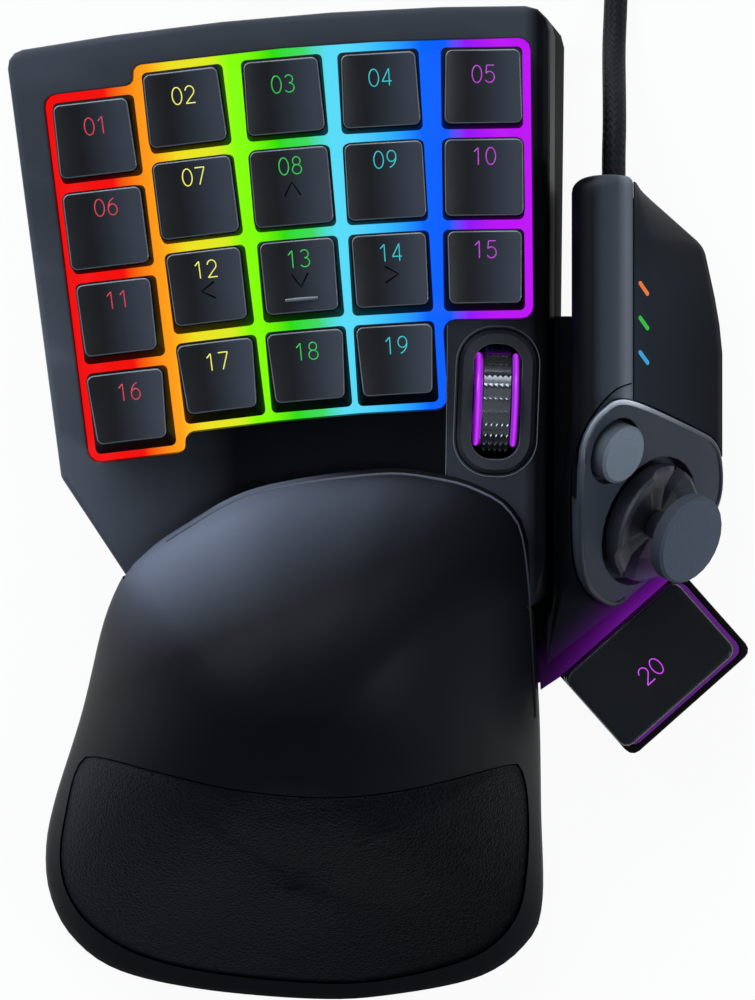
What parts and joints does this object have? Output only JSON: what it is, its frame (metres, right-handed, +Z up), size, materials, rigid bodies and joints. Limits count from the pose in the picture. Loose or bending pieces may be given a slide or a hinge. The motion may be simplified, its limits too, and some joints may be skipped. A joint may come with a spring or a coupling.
{
  "type": "gaming keypad",
  "caption": "Left-hand keypad on a sloping deck with fanned keys, a scroll wheel, a thumb stick and space key, and a sliding padded palm rest.",
  "frame": {"origin": "on the desk under the middle of the body, its lead left out", "axes": "+Z up, +Y to the back where the lead leaves, +X to the thumb's side"},
  "size_m": [0.1511, 0.3161, 0.0609],
  "materials": {
    "shell_black": "moulded charcoal plastic, fine texture",
    "base_black": "black moulded plastic",
    "soft_black": "soft-touch coated plastic",
    "cap_black": "smooth black keycap plastic",
    "frosted": "frosted light guide",
    "violet_light": "lit violet plastic",
    "board_green": "circuit board",
    "switch_grey": "grey switch housings",
    "rubber_grey": "grey rubber, matte",
    "rubber_black": "black rubber",
    "tread": "ribbed rubber tyre with a silvery sheen",
    "leatherette": "black leatherette with fine grain",
    "braid": "black braided sleeve",
    "plug_metal": "bright metal",
    "lamp_orange": "lit orange lens",
    "lamp_green": "lit green lens",
    "lamp_blue": "lit blue lens"
  },
  "bodies": {
    "base": {"top_shell": "shell_black", "light_diffuser": "frosted", "switch_bank": "switch_grey", "main_board": "board_green", "wheel_ring": "shell_black", "thumb_spine": "shell_black", "thumb_cover": "shell_black", "status_lamp_1": "lamp_orange", "status_lamp_2": "lamp_green", "status_lamp_3": "lamp_blue", "thumb_bezel": "soft_black", "thumb_button_switch": "switch_grey", "thumb_key_frame": "base_black", "thumb_key_light": "violet_light", "thumb_apron": "base_black", "thumb_board": "board_green", "base_shell": "base_black", "base_foot_1": "rubber_black", "base_foot_2": "rubber_black", "base_foot_3": "rubber_black", "base_foot_4": "rubber_black", "cable_gland": "rubber_black", "cable_run": "braid", "cable_coil": "braid", "coil_tie": "rubber_black", "plug_body": "rubber_black", "plug_shell": "plug_metal"},
    "key_01": {"key_01": "cap_black"},
    "key_02": {"key_02": "cap_black"},
    "key_03": {"key_03": "cap_black"},
    "key_04": {"key_04": "cap_black"},
    "key_05": {"key_05": "cap_black"},
    "key_06": {"key_06": "cap_black"},
    "key_07": {"key_07": "cap_black"},
    "key_08": {"key_08": "cap_black"},
    "key_09": {"key_09": "cap_black"},
    "key_10": {"key_10": "cap_black"},
    "key_11": {"key_11": "cap_black"},
    "key_12": {"key_12": "cap_black"},
    "key_13": {"key_13": "cap_black"},
    "key_14": {"key_14": "cap_black"},
    "key_15": {"key_15": "cap_black"},
    "key_16": {"key_16": "cap_black"},
    "key_17": {"key_17": "cap_black"},
    "key_18": {"key_18": "cap_black"},
    "key_19": {"key_19": "cap_black"},
    "wheel_carriage": {"wheel_carriage": "base_black"},
    "wheel": {"wheel_hub": "violet_light", "wheel_tyre": "tread"},
    "thumb_button": {"thumb_button": "rubber_grey"},
    "gimbal": {"stick_gimbal": "switch_grey"},
    "stick": {"thumb_pad": "cap_black", "stick_cap": "rubber_grey"},
    "thumb_key": {"thumb_key": "cap_black"},
    "palm_rest": {"palm_shell": "soft_black", "palm_pad": "leatherette", "palm_tray": "base_black", "palm_foot_1": "rubber_black", "palm_foot_2": "rubber_black"}
  },
  "joints": [
    {"name": "key_01_press", "type": "slide", "parent": "base", "child": "key_01", "axis": [0, 0.0872, -0.9962], "range_m": [0, 0.0035], "stiffness_N_per_m": 170, "springref_m": -0.001},
    {"name": "key_02_press", "type": "slide", "parent": "base", "child": "key_02", "axis": [0, 0.0872, -0.9962], "range_m": [0, 0.0035], "stiffness_N_per_m": 170, "springref_m": -0.001},
    {"name": "key_03_press", "type": "slide", "parent": "base", "child": "key_03", "axis": [0, 0.0872, -0.9962], "range_m": [0, 0.0035], "stiffness_N_per_m": 170, "springref_m": -0.001},
    {"name": "key_04_press", "type": "slide", "parent": "base", "child": "key_04", "axis": [0, 0.0872, -0.9962], "range_m": [0, 0.0035], "stiffness_N_per_m": 170, "springref_m": -0.001},
    {"name": "key_05_press", "type": "slide", "parent": "base", "child": "key_05", "axis": [0, 0.0872, -0.9962], "range_m": [0, 0.0035], "stiffness_N_per_m": 170, "springref_m": -0.001},
    {"name": "key_06_press", "type": "slide", "parent": "base", "child": "key_06", "axis": [0, 0.0872, -0.9962], "range_m": [0, 0.0035], "stiffness_N_per_m": 170, "springref_m": -0.001},
    {"name": "key_07_press", "type": "slide", "parent": "base", "child": "key_07", "axis": [0, 0.0872, -0.9962], "range_m": [0, 0.0035], "stiffness_N_per_m": 170, "springref_m": -0.001},
    {"name": "key_08_press", "type": "slide", "parent": "base", "child": "key_08", "axis": [0, 0.0872, -0.9962], "range_m": [0, 0.0035], "stiffness_N_per_m": 170, "springref_m": -0.001},
    {"name": "key_09_press", "type": "slide", "parent": "base", "child": "key_09", "axis": [0, 0.0872, -0.9962], "range_m": [0, 0.0035], "stiffness_N_per_m": 170, "springref_m": -0.001},
    {"name": "key_10_press", "type": "slide", "parent": "base", "child": "key_10", "axis": [0, 0.0872, -0.9962], "range_m": [0, 0.0035], "stiffness_N_per_m": 170, "springref_m": -0.001},
    {"name": "key_11_press", "type": "slide", "parent": "base", "child": "key_11", "axis": [0, 0.0872, -0.9962], "range_m": [0, 0.0035], "stiffness_N_per_m": 170, "springref_m": -0.001},
    {"name": "key_12_press", "type": "slide", "parent": "base", "child": "key_12", "axis": [0, 0.0872, -0.9962], "range_m": [0, 0.0035], "stiffness_N_per_m": 170, "springref_m": -0.001},
    {"name": "key_13_press", "type": "slide", "parent": "base", "child": "key_13", "axis": [0, 0.0872, -0.9962], "range_m": [0, 0.0035], "stiffness_N_per_m": 170, "springref_m": -0.001},
    {"name": "key_14_press", "type": "slide", "parent": "base", "child": "key_14", "axis": [0, 0.0872, -0.9962], "range_m": [0, 0.0035], "stiffness_N_per_m": 170, "springref_m": -0.001},
    {"name": "key_15_press", "type": "slide", "parent": "base", "child": "key_15", "axis": [0, 0.0872, -0.9962], "range_m": [0, 0.0035], "stiffness_N_per_m": 170, "springref_m": -0.001},
    {"name": "key_16_press", "type": "slide", "parent": "base", "child": "key_16", "axis": [0, 0.0872, -0.9962], "range_m": [0, 0.0035], "stiffness_N_per_m": 170, "springref_m": -0.001},
    {"name": "key_17_press", "type": "slide", "parent": "base", "child": "key_17", "axis": [0, 0.0872, -0.9962], "range_m": [0, 0.0035], "stiffness_N_per_m": 170, "springref_m": -0.001},
    {"name": "key_18_press", "type": "slide", "parent": "base", "child": "key_18", "axis": [0, 0.0872, -0.9962], "range_m": [0, 0.0035], "stiffness_N_per_m": 170, "springref_m": -0.001},
    {"name": "key_19_press", "type": "slide", "parent": "base", "child": "key_19", "axis": [0, 0.0872, -0.9962], "range_m": [0, 0.0035], "stiffness_N_per_m": 170, "springref_m": -0.001},
    {"name": "wheel_click", "type": "slide", "parent": "base", "child": "wheel_carriage", "axis": [0, 0.0872, -0.9962], "range_m": [0, 0.0008], "stiffness_N_per_m": 900, "springref_m": -0.0004},
    {"name": "wheel_spin", "type": "hinge", "parent": "wheel_carriage", "child": "wheel", "pos_m": [0.0231, 0.02261, 0.02457], "axis": [0.9994, -0.0348, -0.003], "continuous": true},
    {"name": "thumb_button_press", "type": "slide", "parent": "base", "child": "thumb_button", "axis": [-0.6885, 0.3358, -0.6428], "range_m": [0, 0.001], "stiffness_N_per_m": 500, "springref_m": -0.0005},
    {"name": "gimbal_tilt", "type": "hinge", "parent": "base", "child": "gimbal", "pos_m": [0.04904, 0.00022, 0.02637], "axis": [0.4384, 0.8988, 0], "range_deg": [-7, 7], "stiffness_Nm_per_rad": 0.03},
    {"name": "stick_tilt", "type": "hinge", "parent": "gimbal", "child": "stick", "pos_m": [0.04904, 0.00022, 0.02637], "axis": [0.5777, -0.2818, -0.766], "range_deg": [-7, 7], "stiffness_Nm_per_rad": 0.03},
    {"name": "thumb_key_press", "type": "slide", "parent": "base", "child": "thumb_key", "axis": [0, 0, -1], "range_m": [0, 0.0025], "stiffness_N_per_m": 240, "springref_m": -0.001},
    {"name": "palm_rest_slide", "type": "slide", "parent": "base", "child": "palm_rest", "axis": [0, -1, 0], "range_m": [0, 0.014]}
  ]
}
